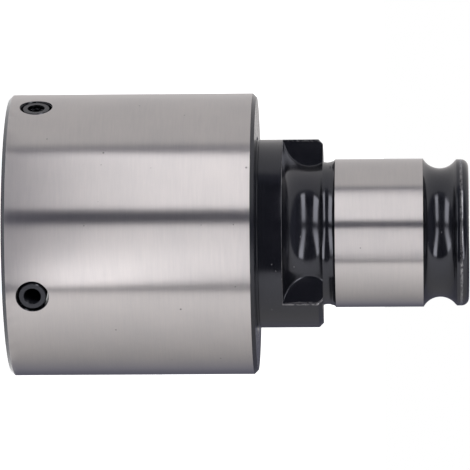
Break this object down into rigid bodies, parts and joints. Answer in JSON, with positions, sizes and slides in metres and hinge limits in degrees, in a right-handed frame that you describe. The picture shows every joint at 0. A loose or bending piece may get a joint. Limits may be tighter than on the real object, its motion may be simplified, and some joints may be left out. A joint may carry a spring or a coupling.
{
  "type": "quick-change tapping adapter for round dies",
  "caption": "Quick-change tapping adapter that holds a round threading die: ground head with set screws, drive lugs, ball-groove shank and an inner overload ball clutch.",
  "frame": {"origin": "centre of the head's open front face, on which the adapter stands", "axes": "+Z along the axis from the head's front face to the end of the shank; the drive lugs lie on the X axis"},
  "size_m": [0.0588, 0.0588, 0.0958],
  "materials": {
    "ground_steel": "ground round the axis, bright",
    "black_oxide": "black oxide on turned steel, semi-gloss",
    "hardened_steel": "hardened and ground, satin",
    "spring_steel": "oiled spring steel",
    "ball_steel": "polished bearing steel"
  },
  "bodies": {
    "head": {"head_sleeve": "ground_steel", "die_seat_ring": "hardened_steel", "thrust_washer": "hardened_steel", "disc_spring_1": "spring_steel", "disc_spring_2": "spring_steel", "disc_spring_3": "spring_steel", "disc_spring_4": "spring_steel", "drive_pin_1": "hardened_steel", "drive_pin_2": "hardened_steel", "drive_pin_3": "hardened_steel", "drive_pin_4": "hardened_steel"},
    "shank": {"shank_body": "black_oxide"},
    "plate": {"pressure_plate": "hardened_steel", "clutch_ball_1": "ball_steel", "clutch_ball_2": "ball_steel", "clutch_ball_3": "ball_steel", "clutch_ball_4": "ball_steel", "clutch_ball_5": "ball_steel", "clutch_ball_6": "ball_steel"},
    "adjuster": {"adjusting_nut": "black_oxide"},
    "locker": {"lock_nut": "black_oxide"},
    "screw_1": {"die_screw_1": "black_oxide"},
    "screw_2": {"die_screw_2": "black_oxide"},
    "screw_3": {"die_screw_3": "black_oxide"},
    "screw_4": {"die_screw_4": "black_oxide"}
  },
  "joints": [
    {"name": "clutch_slip", "type": "hinge", "parent": "head", "child": "shank", "pos_m": [0, 0, 0.0393], "axis": [0, 0, -1], "range_deg": [0, 25]},
    {"name": "plate_lift", "type": "slide", "parent": "head", "child": "plate", "axis": [0, 0, -1], "range_m": [0, 0.0016], "stiffness_N_per_m": 2000, "springref_m": -0.0006, "deforming": ["disc_spring_1", "disc_spring_2", "disc_spring_3", "disc_spring_4"]},
    {"name": "adjusting_nut_turn", "type": "hinge", "parent": "head", "child": "adjuster", "pos_m": [0, 0, 0.0219], "axis": [0, 0, 1], "range_deg": [-60, 60]},
    {"name": "lock_nut_turn", "type": "hinge", "parent": "head", "child": "locker", "pos_m": [0, 0, 0.0176], "axis": [0, 0, 1], "range_deg": [-60, 60]},
    {"name": "die_screw_1_feed", "type": "slide", "parent": "head", "child": "screw_1", "axis": [-0.7071, -0.7071, 0], "range_m": [-0.001, 0.0022]},
    {"name": "die_screw_2_feed", "type": "slide", "parent": "head", "child": "screw_2", "axis": [0.7071, -0.7071, 0], "range_m": [-0.001, 0.0022]},
    {"name": "die_screw_3_feed", "type": "slide", "parent": "head", "child": "screw_3", "axis": [0.7071, 0.7071, 0], "range_m": [-0.001, 0.0022]},
    {"name": "die_screw_4_feed", "type": "slide", "parent": "head", "child": "screw_4", "axis": [-0.7071, 0.7071, 0], "range_m": [-0.001, 0.0022]}
  ],
  "couplings": [
    {"joint": "clutch_slip", "follows": "plate_lift", "rad_per_m": 272.7}
  ]
}
